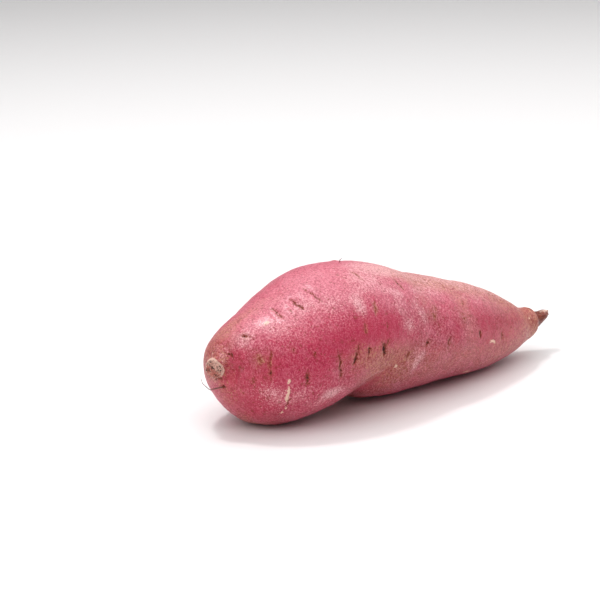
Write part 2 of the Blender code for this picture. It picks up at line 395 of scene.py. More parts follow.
# A spot is a small mark placed by its point: the point in millimetres, its reach in millimetres,
# how far it rises there, its stain and how strong that is.
SPOTS = (
    ((-91.6, -3.6, 32.8), 2.6, 0.90, "russet", 0.45),
    ((-90.2, -5.2, 32.6), 1.8, 0.60, "tan", 0.45),
    # These two are a painted highlight over a scuff: they whiten the glint of the spot softbox on the
    # head
    ((-74.0, -9.7, 45.7), 1.5, 0.10, "scar", 0.62),
    ((-73.0, -10.1, 45.9), 0.9, 0.00, "scar", 0.62),
    ((-91.9, 0.4, 22.7), 1.0, -0.20, "eye", 0.85),
    ((-91.5, -1.9, 23.4), 1.0, -0.20, "eye", 0.75),
    ((-91.8, 1.9, 33.0), 1.1, 0.35, "scar", 0.60),
    ((-91.2, 1.4, 34.0), 0.8, -0.15, "eye", 0.55),
    ((-90.8, 0.6, 35.7), 2.6, 0.10, "pale", 0.60),
    ((-23.3, 8.7, 59.4), 1.5, 0.50, "tan", 0.90),
    ((89.2, -0.2, 18.2), 1.5, 0.15, "broken", 1.00),
    ((90.7, -1.1, 18.1), 1.4, 0.10, "broken", 1.00),
    ((92.3, -0.4, 18.1), 1.3, 0.10, "broken", 1.00),
    ((91.6, -1.8, 17.8), 0.6, -0.15, "eye", 0.90),
    ((89.6, -1.6, 17.7), 0.6, -0.15, "eye", 0.90),
    ((85.8, -2.3, 17.0), 1.4, -0.10, "eye", 0.75),
    ((86.2, -0.6, 17.8), 1.3, -0.10, "eye", 0.75),
    ((84.5, 0.4, 20.6), 1.6, 0.15, "tan", 0.70),
)

# Dried root hairs: the points of each in millimetres from its foot, and a scale of its thickness
HAIRS = (
    (
        "root_hair_head",
        (
            (-90.0, -2.2, 19.6), (-90.5, -1.1, 19.1), (-90.8, 1.2, 18.2), (-90.4, 3.5, 17.3),
            (-90.2, 5.6, 16.4), (-88.9, 8.0, 15.3), (-88.6, 9.7, 15.2), (-89.4, 10.9, 16.3),
            (-90.8, 11.0, 17.8), (-91.4, 11.2, 19.8),
        ),
        1.0,
    ),
    ("root_hair_top", ((-24.7, 3.2, 59.9), (-24.9, 2.8, 61.2), (-24.3, 2.2, 62.0)), 0.9),
)
# How much of its thickness a hair loses up to its end
HAIR_TAPER = 0.55

# Softboxes: name, place and width in metres, and the setting that holds its power
SOFTBOXES = (
    ("top_softbox", (-0.1, -0.25, 1.0), 1.4, "top_power"),
    ("spot_softbox", (-0.047, 0.305, 0.886), 0.1, "spot_power"),
    ("back_softbox", (0.2, 0.55, 0.9), 0.9, "back_power"),
    ("right_softbox", (1.0, -0.1, 0.6), 0.8, "right_power"),
    ("left_softbox", (-1.0, 0.0, 0.6), 0.8, "left_power"),
)
LIGHT_AIM = Vector((0, 0, 0.03))
FLOOR_REACH = 8.0
# The point that the camera looks at: its height, and how far it is left of it and above it
AIM_HEIGHT = 31 * MM
AIM_LEFT = 38.1 * MM
AIM_UP = 8.35 * MM


def smooth(values, low, high):
    """A smooth step that is 0 at low and 1 at high."""
    part = np.clip((values - low) / (high - low), 0, 1)
    return part * part * (3 - 2 * part)


class Skin:
    """The skin's mesh as arrays, with its relief and its stains, that features are worked into."""

    STAINS = (
        "eye", "tan", "russet", "pale", "crimson", "scar",
        "cork", "rim", "rosy", "dry", "broken", "dust",
    )

    def __init__(self, mesh):
        self.mesh = mesh
        count = len(mesh.vertices)
        self.points = np.empty(count * 3)
        self.normals = np.empty(count * 3)
        mesh.vertices.foreach_get("co", self.points)
        mesh.vertices.foreach_get("normal", self.normals)
        self.points = self.points.reshape(-1, 3)
        self.normals = self.normals.reshape(-1, 3)
        corners = [tuple(face.vertices) for face in mesh.polygons]
        self.tree = BVHTree.FromPolygons([Vector(p) for p in self.points], corners)
        self.along = (self.points[:, 0] - START_X) / LENGTH
        out, up = -self.points[:, 1], self.points[:, 2] - AXIS_HEIGHT
        self.angle = np.degrees(np.arctan2(up, out))
        self.radius = np.maximum(np.hypot(out, up), LEAST_RADIUS)
        self.rise = np.zeros(count)
        self.stains = {name: np.zeros(count) for name in self.STAINS}

    def place(self, along, angle):
        """The point of the skin at a share along the root and an angle, and its normal."""
        turn = math.radians(angle)
        start = Vector((START_X + along * LENGTH, 0, AXIS_HEIGHT))
        point, normal, _, _ = self.tree.ray_cast(start, Vector((0, -math.cos(turn), math.sin(turn))))
        if point is None:
            raise RuntimeError(f"no skin at {along:.3f} along and {angle:.0f} degrees")
        return point, normal

    def stain(self, name, amount, where=slice(None)):
        """Adds to a stain so that it nears but never passes full strength."""
        old = self.stains[name][where]
        self.stains[name][where] = old + (1 - old) * np.clip(amount, 0, 1)

    def trace(self, path, reach):
        """Which vertices lie near a path, how far from it, and where along it from 0 to 1."""
        path = np.array([tuple(p) for p in path])
        middle = (path.min(0) + path.max(0)) / 2
        size = np.linalg.norm(path.max(0) - path.min(0)) / 2 + reach
        near = np.flatnonzero(((self.points - middle) ** 2).sum(1) < size * size)
        points = self.points[near]
        steps = np.diff(path, axis=0)
        lengths = np.linalg.norm(steps, axis=1)
        starts = np.concatenate(([0], np.cumsum(lengths)))
        best = np.full(len(near), 1e9)
        where = np.zeros(len(near))
        for i in range(len(steps)):
            part = np.clip(((points - path[i]) @ steps[i]) / lengths[i] ** 2, 0, 1)
            gap = np.linalg.norm(points - path[i] - part[:, None] * steps[i], axis=1)
            closer = gap < best
            best[closer] = gap[closer]
            where[closer] = (starts[i] + part * lengths[i])[closer] / starts[-1]
        return near, best, where

    def crease(self, path, width, depth, dark, corky):
        """Presses an eye along a path: a broken dark cleft with raised lips in a corky surround."""
        near, gap, where = self.trace(path, 6 * width)
        ends = np.sin(np.pi * np.clip(where, 0.01, 0.99)) ** 0.35
        length = sum((b - a).length for a, b in zip(path, path[1:]))
        seed = path[0].x * 900
        swell = [noise.noise((seed, part * length / SWELL, 0)) for part in where]
        swell = 0.8 + 0.9 * np.array(swell)
        off = gap / (CLEFT * width) / swell
        lip = np.exp(-(((off - 2.2) / 1.0) ** 2))
        self.rise[near] += depth * ends * (0.25 * lip - np.exp(-(off**2)))
        self.stain("eye", dark * ends * np.exp(-((off / 1.35) ** 2)), near)
        self.stain("tan", corky * ends * np.exp(-((gap / (CORK_REACH * width)) ** 2)), near)
        self.stain("russet", 0.8 * corky * ends * np.exp(-((gap / (RED_REACH * width)) ** 2)), near)

    def line(self, path, width, rise, stain, strength):
        """Raises or presses a line along a path and stains it."""
        near, gap, where = self.trace(path, 4 * width)
        ends = np.sin(np.pi * np.clip(where, 0.01, 0.99)) ** 0.35
        off = gap / (width / 2)
        self.rise[near] += rise * ends * np.exp(-(off**2))
        self.stain(stain, strength * ends * np.exp(-((off * 0.8) ** 2)), near)

    def patch(self, name, along, angle, reach_along, reach_round, strength):
        """Stains a soft round patch."""
        side = (self.along - along) * LENGTH / reach_along
        turn = (self.angle - angle + 180) % 360 - 180
        end = np.radians(turn) * self.radius / reach_round
        self.stain(name, strength * np.exp(-(side**2) - end**2))

    def spot(self, name, point, reach, rise, strength):
        """Raises or presses a small round mark and stains it."""
        gap = np.linalg.norm(self.points - np.array(point), axis=1)
        part = np.exp(-((gap / reach) ** 2))
        self.rise += rise * part
        self.stain(name, strength * part)

    def finish(self):
        """Writes the relief into the mesh, keeping the resting spots flat, and stores the stains."""
        moved = self.points + self.normals * self.rise[:, None]
        moved[:, 2] = np.maximum(moved[:, 2], 0)
        moved[self.points[:, 2] < 1e-6, 2] = 0
        self.mesh.vertices.foreach_set("co", moved.ravel())
        for name, values in self.stains.items():
            layer = self.mesh.attributes.new(name, "FLOAT", "POINT")
            layer.data.foreach_set("value", values.astype(np.float32))
        self.mesh.update()


def eye_path(skin, along, angle, length, lean, rule):
    """Points of a slightly wandering crease across the root."""
    centre, normal = skin.place(along, angle)
    across = Vector((1, 0, 0)).cross(normal).normalized()
    ahead = normal.cross(across)
    turn = math.radians(lean)
    way = across * math.cos(turn) + ahead * math.sin(turn)
    side = ahead * math.cos(turn) - across * math.sin(turn)
    path = []
    for step in range(-EYE_STEPS, EYE_STEPS + 1):
        stray = rule.uniform(-EYE_WANDER, EYE_WANDER)
        point = centre + way * (step * EYE_STEP * length) + side * stray
        path.append(skin.tree.find_nearest(point)[0])
    return path


def add_eyes(skin, depth_scale):
    """Presses every eye: those of the near side as listed, the others by the solid's rule."""
    wander = random.Random(EYE_SEED + 1)
    for along, angle, length, width, depth, lean, dark, corky in EYES:
        path = eye_path(skin, along, angle, length * MM, lean, wander)
        skin.crease(path, width * MM, depth * depth_scale * MM, dark, corky)
    rule = random.Random(EYE_SEED)
    for row in EYE_ROWS:
        along = EYE_ROW_ALONG[0] + rule.uniform(0, EYE_GAP[1])
        while along < EYE_ROW_ALONG[1]:
            length, depth = rule.uniform(*EYE_LENGTH), rule.uniform(*EYE_DEPTH)
            stray = rule.uniform(-EYE_STRAY, EYE_STRAY)
            path = eye_path(skin, along, row + stray, length * MM, 2 * stray, wander)
            width, dark, corky = (wander.uniform(*span) for span in HIDDEN_EYE_SPANS)
            depth *= HIDDEN_EYE_DEPTH * depth_scale * MM
            skin.crease(path, width * MM, depth, dark, corky)
            along += rule.uniform(*EYE_GAP)


def add_patches(skin):
    """Stains the listed patches, and others of the same kinds on the hidden sides."""
    rule = random.Random(PATCH_SEED)
    kinds = {
        "tan": TAN_PATCHES,
        "russet": RUSSET_PATCHES,
        "pale": PALE_PATCHES,
        "crimson": CRIMSON_PATCHES,
    }
    for name, patches in kinds.items():
        for along, angle, reach_along, reach_round, strength in patches:
            skin.patch(name, along, angle, reach_along * MM, reach_round * MM, strength)
        for _ in range(HIDDEN_PATCHES):
            skin.patch(name, *(rule.uniform(*span) for span in HIDDEN_SPANS))


def add_fine_relief(skin, rise_scale):
    """Gives the skin its small lumps and its fine wrinkles across, deepest at the waist. It browns the
    waist with painted shade on its lower side, and pales skin that faces up with dust and a painted
    highlight.
    """
    climb = (skin.points[:, 2] / THICKNESS - 0.5) * 2
    past = (skin.along - WAIST_ALONG - WAIST_LEAN * climb) * LENGTH
    # 1 on the lower side and 0 on the upper
    low = smooth(-climb, -0.3, 0.5)
    waist = np.exp(-((past / WAIST_REACH) ** 2)) * low
    bottom = past - WAIST_BOTTOM_PAST
    # Painted shade over brownish skin: the waist's lower side is browned, and its valley's bottom
    # deepened to crimson and russet
    skin.stain("russet", 0.85 * waist)
    skin.stain("crimson", 0.8 * np.exp(-((bottom / WAIST_CRIMSON_SHADE_REACH) ** 2)) * low)
    skin.stain("russet", 0.85 * np.exp(-((bottom / WAIST_RUSSET_SHADE_REACH) ** 2)) * low)
    middle = WAIST_PINCH_PAST - WAIST_PINCH_LEAN * (climb + 1)
    pinch = np.exp(-(((past - middle) / WAIST_PINCH_REACH) ** 2)) * low
    skin.rise -= WAIST_PINCH * pinch
    # Painted highlight with dust: the skin is paler where it faces up
    skin.stain("dust", smooth(skin.normals[:, 2], DUST_AND_HIGHLIGHT_UP, 1.0))
    calm = 1 - smooth(skin.along, *CALM_ALONG)
    for i, point in enumerate(skin.points):
        point = Vector(point)
        for size, rise in LUMPS:
            skin.rise[i] += calm[i] * rise_scale * rise * noise.noise(point / size)
        bent = point.x + WRINKLE_WANDER * noise.noise(point / WRINKLE_WANDER_SIZE)
        fold = Vector((bent / WRINKLE_ALONG, point.y / WRINKLE_ROUND, point.z / WRINKLE_ROUND))
        rise = WRINKLE_RISE * (1 + 1.6 * waist[i])
        skin.rise[i] += calm[i] * rise_scale * rise * noise.noise(fold)


def add_stub(skin):
    """Roughens the cut stub of the head to torn cork and fibre inside a pale rim."""
    offset = skin.points - np.array(STUB_CENTRE)
    ahead = offset @ np.array(STUB_LOOK)
    side = offset @ np.array(STUB_SIDE) / STUB_RADIUS
    up = offset[:, 2] / STUB_RADIUS
    out = np.hypot(side, up)
    front = smooth(ahead, -STUB_LENGTH, -0.5 * STUB_LENGTH)
    face = front * (1 - smooth(out, 0.98, 1.12))
    skin.stain("cork", face)
    ring = np.exp(-(((out - 0.96) / 0.13) ** 2)) * front
    skin.stain("rim", ring * (0.6 + 0.4 * smooth(up + 0.6 * side, -0.6, 0.3)))
    skin.stain("rosy", face * (1 - smooth(up + 0.5 * side, -0.35, 0.25)))
    neck = np.exp(-(((out - 1.35) / 0.35) ** 2)) * smooth(ahead, -7 * MM, -3 * MM)
    skin.stain("tan", 0.2 * neck)
    skin.stain("russet", 0.6 * neck)
    for i in np.flatnonzero(face > 0.01):
        point = Vector(skin.points[i])
        for size, rise in STUB_TEAR:
            skin.rise[i] += face[i] * rise * noise.noise(point / size)
    skin.rise += ring * STUB_RIM_RISE


def add_tip(skin):
    """Dries the root tip to torn fibre, and cracks the lip of the skin round it."""
    dry = smooth(skin.along, TIP_ALONG - 0.006, TIP_ALONG + 0.004)
    skin.stain("dry", dry)
    lip = np.exp(-(((skin.along - LIP_ALONG) / LIP_REACH) ** 2))
    skin.stain("tan", 0.85 * lip)
    skin.stain("russet", 0.8 * np.exp(-(((skin.along - TIP_ALONG) / TIP_RED_REACH) ** 2)))
    end = smooth(skin.along, TIP_END_ALONG, 1.0)
    skin.stain("broken", 0.8 * end)
    for i in np.flatnonzero(skin.along > TIP_ALONG - 0.03):
        point = Vector(skin.points[i])
        fibre = Vector((point.x / FIBRE_LENGTH, point.y / FIBRE_WIDTH, point.z / FIBRE_WIDTH))
        skin.rise[i] += (0.25 + 0.75 * dry[i]) * FIBRE_RISE * noise.noise(fibre)


# Two triangles are joined to a quad if they bend and skew by less than this
JOIN_ANGLE = math.radians(60)


def refined(source, name, levels):
    """A copy of a solid's mesh, merged, its triangles joined, and smoothly subdivided."""
    mesh = source.copy()
    bm = bmesh.new()
    bm.from_mesh(mesh)
    bmesh.ops.remove_doubles(bm, verts=bm.verts, dist=1e-3 * MM)
    bmesh.ops.join_triangles(
        bm, faces=bm.faces, angle_face_threshold=JOIN_ANGLE, angle_shape_threshold=JOIN_ANGLE
    )
    bm.to_mesh(mesh)
    bm.free()
    base = bpy.data.objects.new(name, mesh)
    bpy.context.scene.collection.objects.link(base)
    modifier = base.modifiers.new("refine", "SUBSURF")
    modifier.levels = modifier.render_levels = levels
    graph = bpy.context.evaluated_depsgraph_get()
    fine = bpy.data.meshes.new_from_object(base.evaluated_get(graph))
    bpy.data.objects.remove(base)
    bpy.data.meshes.remove(mesh)
    fine.name = name
    return fine


def add_piece(name, mesh, material):
    """Links a finished mesh to the scene as a piece that rides on the root."""
    mesh.materials.clear()
    mesh.materials.append(material)
    mesh.shade_smooth()
    piece = bpy.data.objects.new(name, mesh)
    bpy.context.scene.collection.objects.link(piece)
    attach(piece, BODY)
    return piece


# The node kinds that are used more than once, and a colour mix's sockets by number
MATH = "ShaderNodeMath"
NOISE = "ShaderNodeTexNoise"
MIX = "ShaderNodeMix"
MIX_FACTOR, MIX_A, MIX_B, MIX_RESULT = 0, 6, 7, 2


def add_node(tree, kind, inputs, output=0, **settings):
    """Adds a node with its settings, sets or links its inputs, and gives one of its outputs."""
    node = tree.nodes.new(kind)
    for name, value in settings.items():
        setattr(node, name, value)
    for name, value in inputs.items():
        if isinstance(value, bpy.types.NodeSocket):
            tree.links.new(value, node.inputs[name])
        else:
            node.inputs[name].default_value = value
    return node.outputs[output]


def new_material(name):
    """An empty material with its shader: gives the material, its node tree and the shader."""
    material = bpy.data.materials.new(name)
    material.use_nodes = True
    tree = material.node_tree
    return material, tree, tree.nodes["Principled BSDF"]


# Patterns of the skin: the size of a feature in millimetres, how many times longer it is on X, Y
# and Z, its detail, its roughness and how far it is warped
PATTERNS = {
    "clouds": (26, (1, 1, 1), 2, 0.5, 0.4),
    "mottle": (7, (1, 1, 1), 3, 0.65, 0.6),
    "grain": (0.75, (1, 1, 1), 4, 0.9, 0.0),
    "strokes": (0.62, (1, 1.7, 1.7), 3, 0.85, 0.4),
    "scurf": (0.8, (1, 1.5, 1.5), 3, 0.8, 0.3),
    "flecks": (0.9, (1, 1.4, 1.4), 3, 0.7, 0.3),
    "pores": (2.6, (1, 1, 1), 1, 0.5, 0.0),
    "fibres": (0.6, (6, 1, 1), 3, 0.7, 0.3),
    "tear": (0.9, (1, 1, 1), 4, 0.75, 1.0),
}

# Layers of the skin's colour from the bottom up: the colour's name, the stain that places it (none
# is everywhere), the pattern that breaks it up and by how much, the least and most of their sum
# between which it fades in, and how far it covers at most
LAYERS = (
    ("rose", None, "clouds", 1.0, -0.08, 0.12, 0.90),
    ("russet", "russet", "mottle", 1.8, 0.10, 0.80, 0.90),
    ("deep", "crimson", "mottle", 1.8, 0.15, 0.90, 0.38),
    ("crimson", None, "mottle", 1.0, 0.00, 0.14, 0.75),
    ("bloom", None, "mottle", -1.0, 0.03, 0.20, 0.45),
    # Dust and painted highlight: bloom over the skin that faces up
    ("bloom", "dust", "mottle", 1.8, 0.15, 1.10, 0.50),
    ("tan", "tan", "mottle", 1.2, 0.15, 0.95, 0.40),
    ("pale", "pale", "mottle", 0.8, 0.20, 1.00, 0.34),
    ("bloom", None, "strokes", 1.0, 0.01, 0.10, 0.56),
    ("deep", None, "strokes", -1.0, 0.03, 0.11, 0.56),
    ("bloom", None, "grain", 1.0, 0.02, 0.09, 0.80),
    ("deep", None, "grain", -1.0, 0.03, 0.10, 0.62),
    ("crimson", "crimson", "grain", 0.8, 0.30, 1.00, 0.60),
    ("tan", "tan", "scurf", 3.6, 0.70, 1.20, 0.60),
    ("eye_brown", "tan", "scurf", -3.6, 0.75, 1.20, 0.60),
    ("pale", "pale", "grain", 4.5, 0.70, 1.15, 0.95),
    ("pale", "pale", "strokes", 4.0, 0.75, 1.25, 0.50),
    ("eye_brown", None, "pores", 1.0, 0.20, 0.26, 0.50),
    ("scar", "scar", "flecks", 2.0, 0.40, 0.65, 0.95),
    ("dry_dark", "dry", "fibres", 0.2, 0.30, 0.60, 1.00),
    ("dry_light", "dry", "fibres", 2.4, 1.10, 1.45, 0.60),
    ("cork_light", "cork", "tear", 0.4, 0.30, 0.60, 1.00),
    ("cork_rose", "rosy", "scurf", 2.6, 0.50, 1.00, 0.80),
    ("cork_dark", "cork", "tear", 5.2, 1.08, 1.35, 0.92),
    ("rim", "rim", "scurf", 2.0, 0.45, 0.90, 0.85),
    ("rim", "broken", "tear", 2.4, 0.60, 0.90, 0.90),
    ("eye_brown", "eye", "flecks", 2.6, 0.20, 0.50, 0.92),
    ("eye", "eye", "flecks", 3.0, 0.70, 1.00, 0.97),
)

# How much rougher a layer is than the skin, and how far it stands above it in the fine relief. Its
# stain and pattern name it, and of two layers with the same, the upper is meant.
DULLED = {
    ("tan", "scurf"): 0.2,
    ("pale", "grain"): 0.12,
    ("cork", "tear"): 0.3,
    ("dry", "fibres"): 0.3,
    ("eye", "flecks"): 0.3,
}
RAISED = {
    (None, "grain"): 0.5,
    ("tan", "scurf"): 0.5,
    ("scar", "flecks"): 0.8,
    ("cork", "tear"): -0.8,
    ("eye", "flecks"): -1.2,
}
# The grain's share in the roughness, the strokes' in the relief, and the relief's whole depth
GRAIN_ROUGHNESS = 0.24
STROKE_RISE = 0.7
RELIEF_STRENGTH = 0.6
RELIEF_DEPTH = 0.25 * MM
# Low for skin, because dry cork mirrors little and the eyes have to stay dark
SKIN_IOR = 1.37
# The wax gives a soft highlight, and the dust a faint pale edge
WAX_ROUGHNESS = 0.22
DUST_ROUGHNESS = 0.5
DUST_TINT = linear("#F2D2D2")


def skin_material(settings):
    """Raw sweet potato skin: a thin, dry, slightly waxy cork, crimson under a dusty rose bloom. It
    is rubbed pale in places, paler where it faces up with dust and a painted highlight, and turns tan,
    dull and scurfy where it has healed."""
    material, tree, shader = new_material("sweet_potato_skin")
    coords = add_node(tree, "ShaderNodeTexCoord", {}, output="Object")
    patterns = {}
    for name, (size, stretch, detail, rough, warp) in PATTERNS.items():
        scale = tuple(1 / (size * MM * longer) for longer in stretch)
        scaled = add_node(tree, "ShaderNodeMapping", {"Vector": coords, "Scale": scale})
        shape = {"Scale": 1, "Detail": detail, "Roughness": rough, "Distortion": warp}
        patterns[name] = add_node(tree, NOISE, {"Vector": scaled, **shape})

    base = None
    covers = {}
    for color, stain, pattern, share, low, high, most in LAYERS:
        amount = {0: patterns[pattern], 1: share, 2: -0.5 * share}
        amount = add_node(tree, MATH, amount, operation="MULTIPLY_ADD")
        if stain:
            place = add_node(tree, "ShaderNodeAttribute", {}, output="Fac", attribute_name=stain)
            amount = add_node(tree, MATH, {0: amount, 1: place}, operation="ADD")
        span = {"Value": amount, "From Min": low, "From Max": high, "To Min": 0, "To Max": most}
        cover = add_node(tree, "ShaderNodeMapRange", span, interpolation_type="SMOOTHSTEP")
        under = base or (*settings.crimson, 1)
        over = (*getattr(settings, color), 1)
        blend = {MIX_FACTOR: cover, MIX_A: under, MIX_B: over}
        base = add_node(tree, MIX, blend, MIX_RESULT, data_type="RGBA")
        covers[stain, pattern] = cover
    tree.links.new(base, shader.inputs["Base Color"])

    rough = {0: patterns["grain"], 1: GRAIN_ROUGHNESS, 2: settings.gloss}
    rough = add_node(tree, MATH, rough, operation="MULTIPLY_ADD")
    for key, extra in DULLED.items():
        rough = add_node(tree, MATH, {0: covers[key], 1: extra, 2: rough}, operation="MULTIPLY_ADD")
    tree.links.new(rough, shader.inputs["Roughness"])
    shader.inputs["IOR"].default_value = SKIN_IOR
    shader.inputs["Coat Weight"].default_value = settings.wax
    shader.inputs["Coat Roughness"].default_value = WAX_ROUGHNESS
    shader.inputs["Sheen Weight"].default_value = settings.dust
    shader.inputs["Sheen Roughness"].default_value = DUST_ROUGHNESS
    shader.inputs["Sheen Tint"].default_value = (*DUST_TINT, 1)

    height = {0: patterns["strokes"], 1: STROKE_RISE, 2: 0}
    height = add_node(tree, MATH, height, operation="MULTIPLY_ADD")
    for key, rise in RAISED.items():
        height = add_node(tree, MATH, {0: covers[key], 1: rise, 2: height}, operation="MULTIPLY_ADD")
    relief = {"Strength": RELIEF_STRENGTH, "Distance": RELIEF_DEPTH, "Height": height}
    tree.links.new(add_node(tree, "ShaderNodeBump", relief), shader.inputs["Normal"])
    return material


def hair_material(settings):
    """Dried lateral root: brown fibre, dull."""
    material, tree, shader = new_material("dried_root_hair")
    coords = add_node(tree, "ShaderNodeTexCoord", {}, output="Object")
    fibre = add_node(tree, NOISE, {"Vector": coords, "Scale": 1 / (0.8 * MM), "Detail": 2.0})
    ends = {MIX_FACTOR: fibre, MIX_A: (*settings.dark, 1), MIX_B: (*settings.light, 1)}
    base = add_node(tree, MIX, ends, MIX_RESULT, data_type="RGBA")
    tree.links.new(base, shader.inputs["Base Color"])
    shader.inputs["Roughness"].default_value = 0.7
    return material


def floor_material(settings):
    """White acrylic sheet: smooth and even, with a faint soft reflection."""
    material, _, shader = new_material("white_acrylic_floor")
    shader.inputs["Base Color"].default_value = (*settings.floor, 1)
    shader.inputs["Roughness"].default_value = 0.35
    return material


def strand(bm, path, radii, sides=8):
    """Adds a tapering strand to a bmesh: a ring drawn out through a path of points."""
    path = [Vector(p) for p in path]
    turn = (path[1] - path[0]).to_track_quat("Z", "Y")
    made = bmesh.ops.create_circle(bm, segments=sides, radius=radii[0])
    ring = made["verts"]
    bmesh.ops.transform(bm, matrix=Matrix.Translation(path[0]) @ turn.to_matrix().to_4x4(), verts=ring)
    edges = list({edge for vert in ring for edge in vert.link_edges})
    bmesh.ops.edgeloop_fill(bm, edges=edges)
    for i in range(1, len(path)):
        made = bmesh.ops.extrude_edge_only(bm, edges=edges)["geom"]
        ring = [item for item in made if isinstance(item, bmesh.types.BMVert)]
        edges = [item for item in made if isinstance(item, bmesh.types.BMEdge)]
        edges = [edge for edge in edges if all(vert in ring for vert in edge.verts)]
        after = path[min(i + 1, len(path) - 1)]
        way = (after - path[i - 1]).to_track_quat("Z", "Y")
        bend = way @ turn.inverted()
        place = (
            Matrix.Translation(path[i])
            @ bend.to_matrix().to_4x4()
            @ Matrix.Scale(radii[i] / radii[i - 1], 4)
            @ Matrix.Translation(-path[i - 1])
        )
        bmesh.ops.transform(bm, matrix=place, verts=ring)
        turn = way
    bmesh.ops.edgeloop_fill(bm, edges=edges)
    bmesh.ops.recalc_face_normals(bm, faces=bm.faces)


class SkinSettings(bpy.types.PropertyGroup):
    """Colours and relief of the skin."""

    crimson: bpy.props.FloatVectorProperty(
        name="Crimson",
        description="Skin colour where it is deep",
        subtype="COLOR",
        default=linear("#BF1F48"),
    )
    rose: bpy.props.FloatVectorProperty(
        name="Rose",
        description="Skin colour over most of the root",
        subtype="COLOR",
        default=linear("#C24560"),
    )
    bloom: bpy.props.FloatVectorProperty(
        name="Bloom",
        description="Dusty bloom on the skin",
        subtype="COLOR",
        default=linear("#DC8695"),
    )
    deep: bpy.props.FloatVectorProperty(
        name="Deep",
        description="Deeply coloured patches",
        subtype="COLOR",
        default=linear("#96173B"),
    )
    tan: bpy.props.FloatVectorProperty(
        name="Tan", description="Corky, healed skin", subtype="COLOR", default=linear("#C28C66")
    )
    pale: bpy.props.FloatVectorProperty(
        name="Pale", description="Rubbed skin", subtype="COLOR", default=linear("#EEB5B9")
    )
    russet: bpy.props.FloatVectorProperty(
        name="Russet",
        description="Brownish skin of the waist and the tip",
        subtype="COLOR",
        default=linear("#98362C"),
    )
    rim: bpy.props.FloatVectorProperty(
        name="Rim",
        description="Pale rim of the cut and broken fibre",
        subtype="COLOR",
        default=linear("#ECC6B4"),
    )
    scar: bpy.props.FloatVectorProperty(
        name="Scar",
        description="Healed scars and loose flakes",
        subtype="COLOR",
        default=linear("#EFC4AE"),
    )
    eye_brown: bpy.props.FloatVectorProperty(
        name="Eye edge", description="Cork round an eye", subtype="COLOR", default=linear("#862A14")
    )
    eye: bpy.props.FloatVectorProperty(
        name="Eye", description="Bottom of an eye", subtype="COLOR", default=linear("#240905")
    )
    cork_light: bpy.props.FloatVectorProperty(
        name="Light cork",
        description="Torn cork of the stub",
        subtype="COLOR",
        default=linear("#DDAA99"),
    )
    cork_rose: bpy.props.FloatVectorProperty(
        name="Rose cork",
        description="Reddish cork of the stub",
        subtype="COLOR",
        default=linear("#B8584E"),
    )
    cork_dark: bpy.props.FloatVectorProperty(
        name="Dark cork",
        description="Dark fibre of the stub",
        subtype="COLOR",
        default=linear("#3A241E"),
    )
    dry_light: bpy.props.FloatVectorProperty(
        name="Light tip",
        description="Light fibre of the dried tip",
        subtype="COLOR",
        default=linear("#B9744F"),
    )
    dry_dark: bpy.props.FloatVectorProperty(
        name="Dark tip",
        description="Dark fibre of the dried tip",
        subtype="COLOR",
        default=linear("#6E2A1C"),
    )
    gloss: bpy.props.FloatProperty(
        name="Gloss",
        description="Least roughness of the skin",
        subtype="FACTOR",
        default=0.3,
        min=0,
        max=1,
    )
    dust: bpy.props.FloatProperty(
        name="Dust",
        description="Sheen of the dusty skin",
        subtype="FACTOR",
        default=0.05,
        min=0,
        max=1,
    )
    wax: bpy.props.FloatProperty(
        name="Wax",
        description="Weight of the waxy coat",
        subtype="FACTOR",
        default=0.15,
        min=0,
        max=1,
    )
    levels: bpy.props.IntProperty(
        name="Levels", description="Times the solid's mesh is subdivided", default=2, min=0, max=2
    )
    eye_depth: bpy.props.FloatProperty(
        name="Eye depth",
        description="Scale of the depth of the eyes",
        subtype="FACTOR",
        default=1.0,
        min=0,
        max=1.5,
    )
    fine_relief: bpy.props.FloatProperty(
        name="Fine relief",
        description="Scale of lumps and wrinkles",
        subtype="FACTOR",
        default=1.0,
        min=0,
        max=2,
    )


class HairSettings(bpy.types.PropertyGroup):
    """Colours and thickness of the root hairs."""

    dark: bpy.props.FloatVectorProperty(
        name="Dark", description="Dark fibre", subtype="COLOR", default=linear("#4A2A22")
    )
    light: bpy.props.FloatVectorProperty(
        name="Light", description="Light fibre", subtype="COLOR", default=linear("#9A6A58")
    )
    radius: bpy.props.FloatProperty(
        name="Radius",
        description="Radius of a hair at its foot",
        unit="LENGTH",
        default=0.24 * MM,
        precision=5,
    )


class StageSettings(bpy.types.PropertyGroup):
    """Floor, lights and camera."""

    floor: bpy.props.FloatVectorProperty(
        name="Floor", description="Floor colour", subtype="COLOR", default=linear("#F4F2F2")
    )
    top_power: bpy.props.FloatProperty(
        name="Top light", description="Large softbox over the front", unit="POWER", default=10.0
    )
    spot_power: bpy.props.FloatProperty(
        name="Spot light",
        description="Small softbox that lights the head",
        unit="POWER",
        default=2.5,
    )
    back_power: bpy.props.FloatProperty(
        name="Back light", description="Softbox behind and over the root", unit="POWER", default=4.5
    )
    right_power: bpy.props.FloatProperty(
        name="Right light", description="Softbox on the right", unit="POWER", default=4.1
    )
    left_power: bpy.props.FloatProperty(
        name="Left light", description="Softbox on the left", unit="POWER", default=3.0
    )
    sky: bpy.props.FloatProperty(name="Sky", description="Light from all round", default=0.18, min=0)
    azimuth: bpy.props.FloatProperty(
        name="Azimuth",
        description="Camera's angle round the root",
        subtype="ANGLE",
        default=math.radians(-38),
    )
    elevation: bpy.props.FloatProperty(
        name="Elevation",
        description="Camera's height angle",
        subtype="ANGLE",
        default=math.radians(16.5),
    )
    distance: bpy.props.FloatProperty(
        name="Distance", description="Camera's distance", unit="LENGTH", default=1080 * MM
    )
    lens: bpy.props.FloatProperty(name="Lens", description="Focal length in millimetres", default=151)


